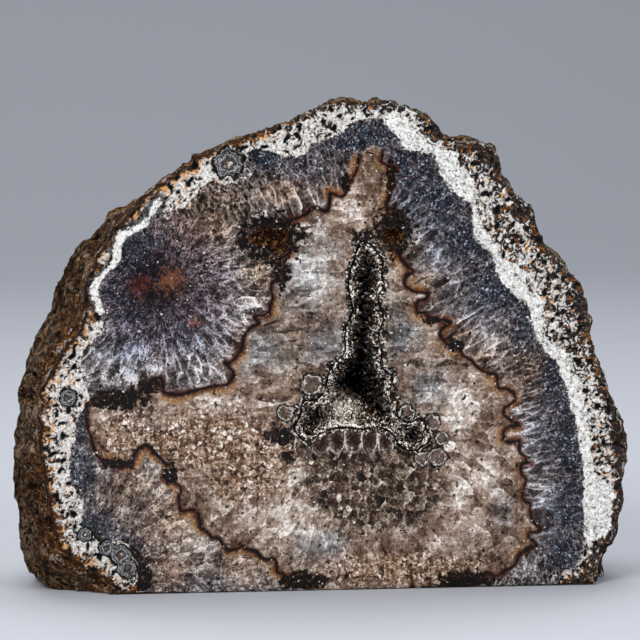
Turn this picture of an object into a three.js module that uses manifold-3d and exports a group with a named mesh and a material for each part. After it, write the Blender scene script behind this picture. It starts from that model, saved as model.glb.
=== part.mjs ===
import * as THREE from 'three';
import { mergeVertices } from 'three/addons/utils/BufferGeometryUtils.js';
import { ImprovedNoise } from 'three/addons/math/ImprovedNoise.js';
import Module from 'manifold-3d';

// Half of a druzy agate nodule: a sawn and polished front, a rough skin behind it, a small flat
// cut to stand on, and an open hollow in the front that is lined with quartz crystals.
// Millimetres. +X runs along the polished face, +Y goes into the stone and +Z is up.
// The origin lies on the base cut.

// The nodule: where its polished face lies, how deep it goes behind it, and how much of that
// depth is the side before the domed back starts.
const FACE_Y = -32;
const STONE_DEPTH = 68;
const SIDE_DEPTH = 20;
const STONE_CENTRE = new THREE.Vector3(2, -8, 50);

// The plain oval that the back comes down to, how full its dome is (1 is an ellipse), and the
// share of the way out from the middle of the back at which the edge's own steps start.
const BACK_HALF_LENGTH = 74;
const BACK_HALF_HEIGHT = 66;
const DOME_FULLNESS = 0.82;
const STEPS_START = 0.3;

// The natural skin: its lumps, its ledges along the edge and its pits. The relief is full from
// some depth behind the face and nearly gone at the sawn edge.
const SKIN_LUMP = { height: 4.2, width: 17 };
const SKIN_LEDGE = { height: 2.2, width: 7, place: 9 };
const SKIN_PIT = { depth: 2.4, width: 9, place: 5, startsAt: 0.15, fullAt: 0.45 };
const FULL_RELIEF_BEHIND = 6;
const EDGE_RELIEF = 0.12;

// The vug, the crust in it with the gap between the two, and the crust's quartz points.
const VUG_DEPTH = 24;
const VUG_WALL_RUN = 6;
const CRUST_GAP = 0.4;
const CRUST_WALL = 1.2;
const CRYSTAL = { width: 2.6, length: 3, shortest: 0.5, lengthAtRim: 1, growthWithDepth: 0.4 };

// The mound of crystals in the wide lower part of the vug.
const MOUND = { x: 6.2, z: 44.2, halfLength: 7.5, halfHeight: 5.5, rise: 17 };

// The edge of the polished face, clockwise from the middle of the left side, and under the base
// cut as the nodule went on before it was cut: x, z, and how far the skin bulges out behind it.
const FACE_EDGE = [
  [-69.2, 40, 3.6], [-68.3, 49, 4.2], [-66, 54.5, 5], [-62.5, 60.5, 7.5], [-58.5, 66.5, 6.2],
  [-57.6, 72, 5], [-58.2, 77, 1.6], [-56.5, 81, 1.4], [-54, 86, -1.6], [-50.5, 90.5, -0.4],
  [-46, 95.2, -1.6], [-40.5, 100.3, -2.6], [-34, 105, -3], [-28, 108.7, -2.2], [-21, 111.8, -2.4],
  [-14, 114.6, -2], [-6.5, 116.2, -2.4], [-2.5, 118.6, -2], [3, 120.4, -1.2], [10, 121.2, -0.6],
  [13.5, 120.2, -2.2], [17, 120.6, 0], [24, 118.2, -1.4], [28, 115.6, 0], [31.5, 112, -2.4],
  [36, 110.7, -2], [42, 109.5, 1.6], [44.3, 107, 3], [44.7, 103.5, 2.6], [48.8, 97, 3],
  [49.4, 93.9, 2], [52, 91.8, 2], [57, 83.3, 2.4], [61, 79.3, 2.6], [64.4, 74.5, 2.6],
  [65.4, 70, 3], [67, 62, 3.4], [71.4, 50, 4], [74.3, 41.5, 2.2], [75.7, 34.5, 0],
  [75, 23, 2.8], [72.6, 12, 3.5], [70, 7.5, 4.6], [69, 2, 5], [63, -7, 4],
  [40, -12, 4], [0, -14, 4], [-36, -10, 8], [-48, -4, 13], [-52, 4, 14.4],
  [-60, 7.8, 11.2], [-64.8, 13, 8.4], [-66.4, 22, 7.2], [-68, 31, 7],
];

// The mouth of the vug on the polished face, clockwise from the top of its slot: x, z.
const VUG_MOUTH = [
  [10.4, 87.4], [13, 85.8], [16, 81.5], [15.3, 78.6], [16.3, 76], [14.5, 73], [16.1, 68],
  [14.6, 63.5], [16, 59], [15, 56], [18.6, 53], [17.6, 49.6], [19.9, 46.4], [19.4, 43.2],
  [22, 41.6], [25.4, 43.1], [26.6, 40.5], [28, 37.4], [26, 35.5], [23.3, 34.2], [19.6, 35.6],
  [18.2, 38.6], [15.4, 40.3], [10, 39.8], [5, 40.4], [0.5, 39.2], [-2, 37.4], [-3.8, 36.8],
  [-5.6, 38.6], [-6.8, 41], [-5.2, 43.4], [-4.6, 47.6], [-1.6, 47.6], [1, 49.6], [1.8, 53.8],
  [3.4, 57], [5.9, 59], [6.2, 65], [8, 70], [7, 74], [7, 78.5], [8.6, 83],
];

// The small dark pockets in the face beside the vug.
const FACE_POCKETS = [
  { x: -12.6, z: 87.6, halfLength: 4.6, halfHeight: 3.4, depth: 3.6 },
  { x: 18.4, z: 88.6, halfLength: 3, halfHeight: 2.6, depth: 3 },
];

// The saws: how far the stone went on past each cut, and the size of the waste.
const SAW_ALLOWANCE = 6;
const WASTE_SIZE = 400;

// How the angles of a ball are shared out over the stone: the band that becomes the side, the
// end of the side past the face's plane, and the cap that closes the front.
const QUARTER = Math.PI / 2;
const SIDE_ANGLE = THREE.MathUtils.degToRad(26);
const FRONT_CAP_STARTS = SIDE_ANGLE * (1 + SAW_ALLOWANCE / SIDE_DEPTH);

// Fineness: the ball's, the vug mouth's, and the net's that is laid over the vug, with how far
// the net stands proud of the face beside the mouth and how far its knots drift from their rows.
const STONE_DETAIL = 19;
const VUG_SIDES = 84;
const NET = { left: -10, right: 31, low: 31, high: 91, cell: CRYSTAL.width / 2, proud: 6 };
const NET_DRIFT = 0.25 * NET.cell;
const SAME_POINT = 1e-3;

const wasm = await Module();
wasm.setup();
const noise = new ImprovedNoise();

function mergedPoints(geometry) {
  const bare = geometry.index ? geometry.toNonIndexed() : geometry.clone();
  bare.deleteAttribute('normal');
  bare.deleteAttribute('uv');
  return mergeVertices(bare, SAME_POINT);
}

function toSolid(geometry) {
  const merged = mergedPoints(geometry);
  return new wasm.Manifold(new wasm.Mesh({
    numProp: 3,
    vertProperties: new Float32Array(merged.attributes.position.array),
    triVerts: new Uint32Array(merged.index.array),
  }));
}

// The solid's largest body as a geometry, so that a crumb cut loose is dropped.
function toGeometry(solid) {
  const bodies = solid.decompose();
  bodies.sort((one, other) => other.volume() - one.volume());
  const mesh = bodies[0].getMesh();
  const geometry = new THREE.BufferGeometry();
  geometry.setAttribute('position', new THREE.BufferAttribute(mesh.vertProperties, 3));
  geometry.setIndex(new THREE.BufferAttribute(mesh.triVerts, 1));
  geometry.computeVertexNormals();
  return geometry;
}

// Relief of the natural skin at a point of it. Ledges follow the depth behind the face.
function skinRelief(point, depth) {
  const lump = noise.noise(
    point.x / SKIN_LUMP.width, point.y / SKIN_LUMP.width, point.z / SKIN_LUMP.width);
  const ledge = noise.noise(
    point.x / SKIN_LUMP.width, depth / SKIN_LEDGE.width,
    point.z / SKIN_LUMP.width + SKIN_LEDGE.place);
  const pit = noise.noise(
    point.x / SKIN_PIT.width + SKIN_PIT.place, point.y / SKIN_PIT.width,
    point.z / SKIN_PIT.width);
  const sunk = THREE.MathUtils.smoothstep(pit, SKIN_PIT.startsAt, SKIN_PIT.fullAt);
  return SKIN_LUMP.height * lump + SKIN_LEDGE.height * ledge - SKIN_PIT.depth * sunk;
}

// One point of the stone, from the edge point (x, z, bulge) on its bearing and its angle from
// the middle of the back. The edge's own steps fade into a plain oval towards the back.
function stonePoint(edgePoint, fromBack) {
  const dome = Math.min(fromBack, QUARTER);
  const side = Math.max(fromBack - QUARTER, 0) / SIDE_ANGLE;
  const inFront = Math.max(fromBack - QUARTER - FRONT_CAP_STARTS, 0);
  const domeDepth = (STONE_DEPTH - SIDE_DEPTH) * Math.cos(dome);
  const depth = Math.max(domeDepth + SIDE_DEPTH * (1 - side), -SAW_ALLOWANCE);
  const closing = 1 - inFront / (QUARTER - FRONT_CAP_STARTS);
  const size = Math.sin(dome) ** DOME_FULLNESS * closing;

  const reach = new THREE.Vector2(edgePoint.x - STONE_CENTRE.x, edgePoint.y - STONE_CENTRE.z);
  const edgeReach = reach.length() + edgePoint.z * (1 - Math.min(side, 1) ** 2);
  reach.normalize();
  const oval = 1 / Math.hypot(reach.x / BACK_HALF_LENGTH, reach.y / BACK_HALF_HEIGHT);
  const likeEdge = inFront > 0 ? 1 : THREE.MathUtils.smoothstep(size, STEPS_START, 1);
  reach.multiplyScalar(THREE.MathUtils.lerp(oval, edgeReach, likeEdge) * size);

  const point = new THREE.Vector3(
    STONE_CENTRE.x + reach.x, FACE_Y + depth, STONE_CENTRE.z + reach.y);
  const relief = THREE.MathUtils.clamp(depth / FULL_RELIEF_BEHIND, EDGE_RELIEF, 1);
  const outward = point.clone().sub(STONE_CENTRE).normalize();
  return point.addScaledVector(outward, skinRelief(point, depth) * relief);
}

// The nodule half before it was sawn. Each point of a ball goes to the same bearing on the
// stone: the ball's +Y half becomes the domed back, the next band the side up to the face's
// plane and a little past it, and the rest closes the front.
function stoneBody() {
  const body = mergedPoints(new THREE.IcosahedronGeometry(1, STONE_DETAIL));
  const edge = new THREE.CatmullRomCurve3(
    FACE_EDGE.map(([x, z, bulge]) => new THREE.Vector3(x, z, bulge)), true, 'centripetal');
  const places = body.attributes.position;
  for (let i = 0; i < places.count; i++) {
    const onBall = new THREE.Vector3().fromBufferAttribute(places, i);
    const around = Math.atan2(onBall.z, -onBall.x) / (2 * Math.PI);
    const fromBack = Math.acos(THREE.MathUtils.clamp(onBall.y, -1, 1));
    const point = stonePoint(edge.getPointAt((around + 1) % 1), fromBack);
    places.setXYZ(i, point.x, point.y, point.z);
  }
  return toSolid(body);
}

const vugMouth = new THREE.CatmullRomCurve3(
  VUG_MOUTH.map(([x, z]) => new THREE.Vector3(x, 0, z)), true, 'centripetal',
).getSpacedPoints(VUG_SIDES);

// How far a place on the face lies inside the vug's mouth. It is negative outside.
function distanceInside(x, z) {
  const place = new THREE.Vector3(x, 0, z);
  let shortest = Infinity;
  let isInside = false;
  for (let i = 0; i < VUG_SIDES; i++) {
    const [from, to] = [vugMouth[i], vugMouth[i + 1]];
    const nearest = new THREE.Line3(from, to).closestPointToPoint(place, true, new THREE.Vector3());
    shortest = Math.min(shortest, nearest.distanceTo(place));
    if (from.z > z !== to.z > z) {
      const crossing = from.x + (to.x - from.x) * (z - from.z) / (to.z - from.z);
      isInside = isInside !== crossing > x;
    }
  }
  return isInside ? shortest : -shortest;
}

// Depth of the vug's wall behind the face, at an inset from its bare wall. It drops steeply
// from the mouth, levels out at the floor, and rises over the mound.
function vugDepth(x, z, inset) {
  const inside = distanceInside(x, z);
  const run = Math.min((inside - inset) / VUG_WALL_RUN, 1);
  if (run < 0) return Math.max(2 * VUG_DEPTH * run, -NET.proud);
  const wall = VUG_DEPTH * (1 - (1 - run) ** 2);
  const away = ((x - MOUND.x) / MOUND.halfLength) ** 2 + ((z - MOUND.z) / MOUND.halfHeight) ** 2;
  const fromRim = Math.min(inside / VUG_WALL_RUN, 1);
  return wall - (MOUND.rise * Math.max(1 - away, 0) + inset) * fromRim;
}

// How far a quartz point is drawn out of a wall of that depth. It stays short at the mouth.
function crystalLength(depth, knot) {
  if (depth <= 0) return 0;
  const share = THREE.MathUtils.lerp(CRYSTAL.shortest, 1, THREE.MathUtils.seededRandom(knot));
  return Math.min(CRYSTAL.length * share, CRYSTAL.lengthAtRim + CRYSTAL.growthWithDepth * depth);
}

// A block that fills the vug up to an inset from its bare wall, and stands proud of the face.
// With crystals, every other knot of its net is drawn out towards the face, and leaves a
// flat-sided quartz point there when the block has cut.
function vugBlock(inset, withCrystals) {
  const length = NET.right - NET.left;
  const height = NET.high - NET.low;
  const across = Math.round(length / NET.cell);
  const up = Math.round(height / NET.cell);
  const block = new THREE.BoxGeometry(length, 1, height, across, 1, up);
  const places = block.attributes.position;
  for (let i = 0; i < places.count; i++) {
    const column = Math.round((places.getX(i) / length + 0.5) * across);
    const row = Math.round((places.getZ(i) / height + 0.5) * up);
    const knot = row * (across + 1) + column;
    const isEdge = column === 0 || column === across || row === 0 || row === up;
    const bearing = 2 * Math.PI * THREE.MathUtils.seededRandom(knot);
    const drift = isEdge ? 0 : NET_DRIFT;
    const x = NET.left + column * length / across + drift * Math.cos(bearing);
    const z = NET.low + row * height / up + drift * Math.sin(bearing);
    const depth = vugDepth(x, z, inset);
    const isTip = withCrystals && (column + row) % 2 === 1;
    const drawn = isTip ? crystalLength(depth, knot) : 0;
    const isFront = places.getY(i) < 0;
    places.setXYZ(i, x, FACE_Y + (isFront ? -2 * NET.proud : depth - drawn), z);
  }
  return toSolid(block);
}

// The waste that a flat saw cut takes away: everything in front of the face or below the base.
function sawWaste(x, y, z) {
  const waste = new THREE.BoxGeometry(WASTE_SIZE, WASTE_SIZE, WASTE_SIZE);
  waste.translate(x, y, z);
  return toSolid(waste);
}

// An egg-shaped bite out of the polished face.
function facePocket({ x, z, halfLength, halfHeight, depth }) {
  const bite = new THREE.IcosahedronGeometry(1, 1);
  bite.scale(halfLength, depth, halfHeight);
  bite.translate(x, FACE_Y, z);
  return toSolid(bite);
}

const frontWaste = sawWaste(0, FACE_Y - WASTE_SIZE / 2, 0);
const baseWaste = sawWaste(0, 0, -WASTE_SIZE / 2);

// The agate: the nodule half, less what was sawn off, the vug and the small pockets.
function agateStone() {
  const sawn = stoneBody().subtract(frontWaste).subtract(baseWaste);
  const hollow = sawn.subtract(vugBlock(0, false));
  return FACE_POCKETS.reduce((stone, pocket) => stone.subtract(facePocket(pocket)), hollow);
}

// The crust of quartz crystals that lines the vug, polished flush with the face at its rim.
function druseCrust() {
  const filling = vugBlock(CRUST_GAP, false).subtract(frontWaste);
  return filling.subtract(vugBlock(CRUST_GAP + CRUST_WALL, true));
}

function namedMesh(name, solid, material) {
  const mesh = new THREE.Mesh(toGeometry(solid), material);
  mesh.name = name;
  return mesh;
}

const polishedAgate = new THREE.MeshStandardMaterial({
  color: 0x857a74, roughness: 0.3, metalness: 0,
});
const drusyQuartz = new THREE.MeshStandardMaterial({
  color: 0x4a4744, roughness: 0.2, metalness: 0,
});

const object = new THREE.Group();
object.add(namedMesh('agate_stone', agateStone(), polishedAgate));
object.add(namedMesh('druse_crust', druseCrust(), drusyQuartz));

export default object;
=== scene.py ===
import math
import random

import bmesh
import bpy
import numpy as np
from mathutils import Matrix, Vector, noise


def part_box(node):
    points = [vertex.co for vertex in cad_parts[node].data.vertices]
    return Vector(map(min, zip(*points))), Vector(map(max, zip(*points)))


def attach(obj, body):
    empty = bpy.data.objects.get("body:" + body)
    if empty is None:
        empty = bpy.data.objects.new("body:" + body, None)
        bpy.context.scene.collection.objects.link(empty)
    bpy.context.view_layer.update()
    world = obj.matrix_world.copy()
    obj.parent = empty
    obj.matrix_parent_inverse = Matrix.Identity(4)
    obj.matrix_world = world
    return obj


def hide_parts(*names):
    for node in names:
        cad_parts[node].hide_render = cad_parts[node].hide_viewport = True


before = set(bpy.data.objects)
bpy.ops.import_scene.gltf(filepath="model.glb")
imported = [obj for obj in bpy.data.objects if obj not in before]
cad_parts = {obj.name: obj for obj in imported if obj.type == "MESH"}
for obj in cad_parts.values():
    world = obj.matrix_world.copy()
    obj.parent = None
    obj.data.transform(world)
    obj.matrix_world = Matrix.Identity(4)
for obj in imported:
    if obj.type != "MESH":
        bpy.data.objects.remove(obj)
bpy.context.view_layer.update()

# The nodule's skin
# One half of a natural agate nodule. Its outside is a rough brown rind with lumps, flaky ledges
# and pits, left as it came out of the ground.
MM = 0.001
SAME_PLACE = 0.002 * MM
ON_PLANE = 5 * SAME_PLACE
CLEAR_OF_FACE = 0.03 * MM
face_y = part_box("agate_stone")[0].y
# Where the walls of the hollow and of the two small pockets beside it are, in millimetres
hollow_room = {"left": -18, "right": 33, "low": 29, "high": 93, "depth": 26}
# Each small pocket as its place and its reach. How far a point of it is moved, and over what
# distance that changes, are shares of the reach.
SMALL_POCKETS = [(-12.6, 87.6, 5.2), (18.4, 88.6, 4.0)]
POCKET_SKEW = 0.35
SKEW_LENGTH = 0.8


def in_millimetres(point):
    return Vector((point.x, point.y - face_y, point.z)) / MM


def is_hollow_wall(point):
    place = in_millimetres(point)
    return (hollow_room["left"] < place.x < hollow_room["right"]
            and hollow_room["low"] < place.z < hollow_room["high"]
            and place.y < hollow_room["depth"])


def pocket_skew(place):
    """How far a point of the two small pockets is moved, because their mouths are ragged."""
    for x, z, reach in SMALL_POCKETS:
        if math.hypot(place.x - x, place.z - z) < reach:
            spot = place / (SKEW_LENGTH * reach)
            return POCKET_SKEW * reach * Vector((
                noise.noise(spot), 0, noise.noise(spot + Vector((5, 5, 5)))))
    return Vector()


def rind_relief(place):
    """How far the rind stands out at a place, both in millimetres."""
    lumps = 0.9 * noise.fractal(place / 6, 0.8, 2.1, 3)
    flakes = 1.1 * (0.5 - abs(noise.noise(Vector((place.x / 2.2, place.y / 2.2, place.z / 5)))))
    knobs = 1.1 * max(0.0, 0.5 - noise.voronoi(place / 2.6)[0][0])
    pits = 3.2 * max(0.0, noise.noise(place / 3.1 + Vector((7, 0, 0))) - 0.25)
    return lumps + flakes + knobs - pits


stone = bmesh.new()
stone.from_mesh(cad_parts["agate_stone"].data)
bmesh.ops.remove_doubles(stone, verts=stone.verts, dist=SAME_PLACE)
sawn_front = [f for f in stone.faces if all(v.co.y < face_y + ON_PLANE for v in f.verts)]
bmesh.ops.delete(stone, geom=sawn_front, context="FACES")
for halving in range(2):
    bmesh.ops.subdivide_edges(stone, edges=stone.edges[:], cuts=1, use_grid_fill=True)
    loose = [v for v in stone.verts
             if not v.is_boundary and v.co.z > ON_PLANE and not is_hollow_wall(v.co)]
    bmesh.ops.smooth_vert(
        stone, verts=loose, factor=0.5, use_axis_x=True, use_axis_y=True, use_axis_z=True)
stone.normal_update()
moves = []
for point in stone.verts:
    if is_hollow_wall(point.co):
        place = point.co + pocket_skew(in_millimetres(point.co)) * MM
        if not point.is_boundary:
            place += point.normal * 0.5 * noise.noise(in_millimetres(point.co) / 1.1) * MM
            place.y = max(place.y, face_y + CLEAR_OF_FACE)
        moves.append((point, place))
        continue
    on_base = point.co.z < ON_PLANE
    if on_base and all(f.normal.z < -0.99 for f in point.link_faces):
        continue
    place = point.co + point.normal * rind_relief(in_millimetres(point.co)) * MM
    place.y = face_y if point.is_boundary else max(place.y, face_y + CLEAR_OF_FACE)
    place.z = 0 if on_base else max(place.z, 0)
    moves.append((point, place))
for point, place in moves:
    point.co = place

# The polished face
# The nodule was sawn in half and this side ground flat and polished, so every layer shows in
# section, down to the mouth of the hollow.
KNOT_GAP = 0.62


def measure(places, starts, ends):
    """For places on the face: the distance to the nearest stretch, positive inside the closed
    line, and how far along the line that is. All in millimetres."""
    nearest = np.full(len(places), 1e9)
    along = np.zeros(len(places))
    inside = np.zeros(len(places), bool)
    run = 0.0
    x, z = places[:, 0], places[:, 1]
    for (x0, z0), (x1, z1) in zip(starts, ends):
        length = max(math.hypot(x1 - x0, z1 - z0), 1e-6)
        share = np.clip(((x - x0) * (x1 - x0) + (z - z0) * (z1 - z0)) / length ** 2, 0, 1)
        gap = np.hypot(x - x0 - share * (x1 - x0), z - z0 - share * (z1 - z0))
        closer = gap < nearest
        nearest[closer] = gap[closer]
        along[closer] = run + share[closer] * length
        if z0 != z1:
            inside ^= ((z0 > z) != (z1 > z)) & (x < (x1 - x0) * (z - z0) / (z1 - z0) + x0)
        run += length
    return np.where(inside, nearest, -nearest), along


def on_face(points):
    return np.array([(p.x, p.z) for p in points]) / MM


def walk_rims(edges):
    """The closed rims that the edges make up, as starts and ends in millimetres, widest first."""
    spare = set(edges)
    walked = []
    while spare:
        rim = [spare.pop()]
        corner = rim[0].verts[1]
        while following := next((e for e in corner.link_edges if e in spare), None):
            spare.remove(following)
            rim.append(following)
            corner = following.other_vert(corner)
        walked.append([on_face([e.verts[end].co for e in rim]) for end in (0, 1)])
    return sorted(walked, key=lambda rim: -np.ptp(rim[0][:, 0]))


stone_rims = walk_rims([e for e in stone.edges if e.is_boundary])
outer_rim, mouth_rim = stone_rims[:2]
rim_starts, rim_ends = (np.concatenate(side) for side in zip(*stone_rims))
face_low, face_high = rim_starts.min(0), rim_starts.max(0)
face_size = face_high - face_low
face_middle = (face_low + face_high) / 2
columns, rows = (face_size / KNOT_GAP).astype(int)
net_place = (Matrix.Translation((face_middle[0] * MM, face_y, face_middle[1] * MM))
             @ Matrix.Rotation(math.radians(90), 4, "X")
             @ Matrix.Diagonal((face_size[0] * MM, face_size[1] * MM, 1, 1)))
net = bmesh.ops.create_grid(
    stone, x_segments=columns, y_segments=rows, size=0.5, matrix=net_place, calc_uvs=False)
to_rim = measure(on_face([v.co for v in net["verts"]]), rim_starts, rim_ends)[0]
spare = [v for v, inside in zip(net["verts"], to_rim) if inside < 0.68 * KNOT_GAP]
bmesh.ops.delete(stone, geom=spare, context="VERTS")
bmesh.ops.delete(stone, geom=[v for v in stone.verts if not v.link_faces], context="VERTS")
bmesh.ops.triangle_fill(
    stone, use_beauty=True, edges=[e for e in stone.edges if e.is_boundary], normal=(0, -1, 0))
RIND, SECTION, BASE_CUT, POCKET = range(4)
for face in stone.faces:
    if all(v.co.y < face_y + SAME_PLACE for v in face.verts):
        face.material_index = SECTION
    elif all(v.co.z < SAME_PLACE for v in face.verts):
        face.material_index = BASE_CUT
    elif is_hollow_wall(face.verts[0].co):
        face.material_index = POCKET
    face.smooth = True
open_edges = sum(1 for e in stone.edges if e.is_boundary)
triangles = sum(len(f.verts) - 2 for f in stone.faces)
print("stone: triangles", triangles, "open edges", open_edges)
stone_mesh = bpy.data.meshes.new("agate_half")
stone.to_mesh(stone_mesh)
stone.free()

# The layers that the section shows
# Outermost first: speckled rock, a white porcelain-like band, navy chalcedony, fans of quartz, a
# dark scalloped line, and clearer quartz around the hollow. They differ only in colour and grain.
QUARTZ_EDGE = [
    (-42.2, 93.5), (-40.3, 94.1), (-37.6, 92.9), (-35.8, 95.1), (-32.7, 96.3), (-31.1, 98.7),
    (-28.9, 100.9), (-27.1, 101.9), (-25.2, 102.2), (-23.7, 101.3), (-21.8, 101.3),
    (-19.8, 102.8), (-18.5, 105), (-18.1, 107.7), (-17.3, 109.9), (-15.3, 110.2),
    (-12.3, 109.4), (-9.2, 108.3), (-6.4, 107.9), (-3.6, 108.9), (-2.2, 111.3), (1.2, 112),
    (3.3, 113), (6.1, 114), (7.9, 116.4), (11, 117.1), (14.1, 117.1), (16, 117), (16.5, 115.5),
    (18, 114), (19.5, 112), (21, 109.8), (23, 109), (26, 108.7), (28.5, 108), (29.5, 105.5),
    (30, 103), (31.5, 101), (33.5, 98.5), (35.5, 97), (37.5, 96), (38, 94), (38.2, 90.5),
    (38.3, 88), (39.5, 86.3), (41, 85), (43, 83.5), (43.5, 81), (44.5, 77.5), (46, 75.5),
    (48, 73.5), (50, 72), (52, 70.5), (53.3, 65), (55, 61), (56.5, 59), (59, 57), (60, 54.5),
    (62, 49.5), (63, 44.5), (64.3, 42), (65.3, 34), (66, 32), (66.5, 28), (66.3, 20),
    (66.7, 15), (66.5, 12), (66.8, 9.5), (65.3, 5.5), (62, 3.5), (60, 1.5), (60, -3),
    (-46, -3), (-46.1, 0.4), (-45.3, 3.9), (-45.3, 7.2), (-46.8, 9.7), (-47.3, 12.2),
    (-49.3, 13.2), (-53, 13.6), (-54.9, 12.9), (-57.2, 15.4), (-59.6, 17.4), (-58.9, 19.9),
    (-59.6, 24.4), (-61.8, 28.4), (-62.5, 33.2), (-61, 37.8), (-60.4, 42.3), (-59.4, 45.5),
    (-57, 48.4), (-57.4, 50.4), (-58.4, 53.4), (-59.4, 57.1), (-58.9, 60.1), (-57.4, 62),
    (-54.4, 64.5), (-53.6, 68.2), (-53, 70), (-54, 73), (-55, 76), (-54, 78), (-52, 80),
    (-50, 82), (-49, 83), (-49, 86), (-48, 88), (-46, 89), (-44, 90), (-42, 91.5),
]
# The wall that the fans grew from, without its small bends
GROWN_FROM = [
    (-48, -4), (-62, 18), (-66, 34), (-63, 52), (-60, 68), (-53, 88), (-38, 101), (-12, 112),
    (10, 118), (22, 114), (34, 104), (44, 88), (54, 74), (64, 57), (69, 38), (70, 18), (66, -4),
]
PORCELAIN_EDGE = [
    (16, 117), (18, 114), (21, 109.8), (23, 109), (28.5, 108), (30, 103), (31.5, 101),
    (33.5, 98.5), (37.5, 96), (38.2, 90.5), (38.3, 88), (39.5, 86.3), (43, 83.5), (44.5, 77.5),
    (46, 75.5), (52, 70.5), (53.3, 65), (56.5, 59), (59, 57), (60, 54.5), (62, 49.5),
    (63, 44.5), (64.3, 42), (65.3, 34), (66.5, 28), (66.3, 20), (66.5, 12), (68, 10.5),
    (70, 11.5), (73, 12.5), (73.5, 16), (73.5, 20), (74, 24), (70, 27), (69, 30), (68, 35),
    (67.5, 42), (66, 48), (65, 52), (62.5, 54), (62, 58), (60, 60), (57, 62), (55.5, 66),
    (55.5, 71), (54.5, 73), (52, 75), (51.5, 79), (49, 80.5), (45, 82.5), (44.5, 86), (42, 88),
    (40, 92), (39, 95), (39, 98), (38, 102), (36, 104), (34, 105), (34, 108), (29, 110),
    (25, 113), (22, 116), (19, 119),
]
VEIN = [
    (-40, 97), (-41.5, 94.5), (-43.5, 91.6), (-46.5, 90.2), (-48.6, 89), (-49.8, 86.5), (-50, 83),
    (-51.2, 81), (-53.3, 79), (-55.3, 77), (-55.8, 75), (-55, 72.5), (-54, 70),
]
SCALLOPED_LINE = [
    (12.5, 110.5), (10, 108), (9.5, 106), (9, 104), (8, 102.5), (7, 101), (6.5, 99), (5.5, 98),
    (3.5, 98.5), (2.5, 99), (2.5, 97.5), (2, 95), (1, 94.3), (-0.5, 95.3), (-2, 95),
    (-4, 93.5), (-6, 92.7), (-8, 92), (-9.5, 90.5), (-7.6, 87), (-7.5, 84.5), (-9, 83.5),
    (-10.5, 82.5), (-10, 79.5), (-10, 77.5), (-12, 77), (-12, 75), (-11.8, 73), (-12.5, 71),
    (-13, 69), (-16.6, 68.5), (-15, 67), (-17, 66), (-19, 63.5), (-19.5, 60.5), (-22, 57.5),
    (-24, 57.5), (-22.5, 56), (-21.5, 54), (-23, 52), (-27, 51.3), (-31, 50.5), (-35, 49.5),
    (-38.5, 50), (-39, 52), (-39.5, 53.5), (-42, 53), (-44.5, 50.5), (-46, 49.5), (-50, 50),
    (-55, 49), (-57.5, 46), (-57.6, 42), (-56.5, 38), (-55.5, 35), (-54, 33.5), (-51.5, 33),
    (-50, 31.5), (-48, 32), (-46.5, 33), (-46, 35), (-44.5, 36.5), (-43, 37), (-41, 35),
    (-39.5, 33.5), (-38, 31.5), (-39, 29.5), (-38, 28), (-36, 27.5), (-34.5, 26), (-35, 24),
    (-35, 21.5), (-34.5, 20.3), (-32, 20.7), (-30.5, 20), (-30, 18), (-29.5, 16), (-28, 15),
    (-27, 13.7), (-25.5, 13.5), (-24, 11.5), (-23, 10.5), (-20.5, 10.7), (-19.5, 11.5),
    (-18, 10.5), (-16, 10), (-14.5, 8.2), (-12, 8), (-11, 7.5), (-10.8, 5.5), (-10.5, 4.5),
    (-9.5, 4.2), (-8.5, 2.5), (-7, 4), (-5.5, 4.5), (-4, 3.5), (-2, 3), (0, 3), (1.5, 2.5),
    (1.5, -4), (32, -4), (33, 3.3), (35, 1.5), (37, 3.8), (39.5, 1.5), (42, 3.5), (44, 2.5),
    (45.5, 3), (47, 4), (48.5, 4.7), (49.5, 6), (50, 7.5), (51, 8.5), (53, 9.5), (54.5, 10),
    (53.5, 11.5), (52.5, 12.5), (53, 13.5), (55, 13.5), (55.5, 14.5), (54, 15.5), (53.3, 17),
    (52.8, 19), (53, 20.5), (52, 21), (51, 22), (51, 24), (51.5, 25.5), (52, 27), (50.8, 28),
    (50.5, 29.5), (51, 31), (53.5, 30.5), (52, 31.3), (51.5, 32.7), (50.3, 33.5), (50, 35),
    (50, 36.5), (47.5, 36.3), (46.3, 36.8), (46, 38), (46.5, 39.5), (48, 40.3), (50, 40.5),
    (49, 41), (47.5, 42), (46.3, 43), (46, 44.5), (48, 46), (49, 47), (48.5, 48.5),
    (47, 49.5), (45, 49.8), (44.5, 51), (44.3, 53), (43, 53.5), (41, 54), (39, 55.5),
    (38, 57), (36, 58), (35, 59.5), (33, 60), (31, 62), (30, 63.5), (30.5, 65), (32.5, 66.3),
    (31, 67), (29, 67.3), (27, 68), (26, 69), (24.3, 69), (24, 70.5), (24.5, 72), (26.5, 72.5),
    (27, 73.8), (25, 74), (23, 74.5), (21.5, 75.5), (21, 77), (22, 78.5), (23.5, 79.2),
    (22.5, 80), (21, 81.5), (20, 83), (19, 84.5), (18.6, 86.5), (16.8, 88.5), (16.2, 91),
    (18, 93), (18.8, 94.5), (17, 95), (16.5, 96), (17, 97), (17.5, 99), (18.3, 101), (18.5, 103),
    (18.5, 105), (17, 105.5), (15.3, 106.5), (15.5, 108), (14.5, 110),
]
SMOKY_EDGE = [
    (-5, 37), (2, 40), (8, 41), (17, 39.5), (24, 34), (30, 30), (31, 24), (29, 20), (20, 14),
    (5, 16), (0, 20), (-5, 24), (-4, 30),
]
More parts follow.
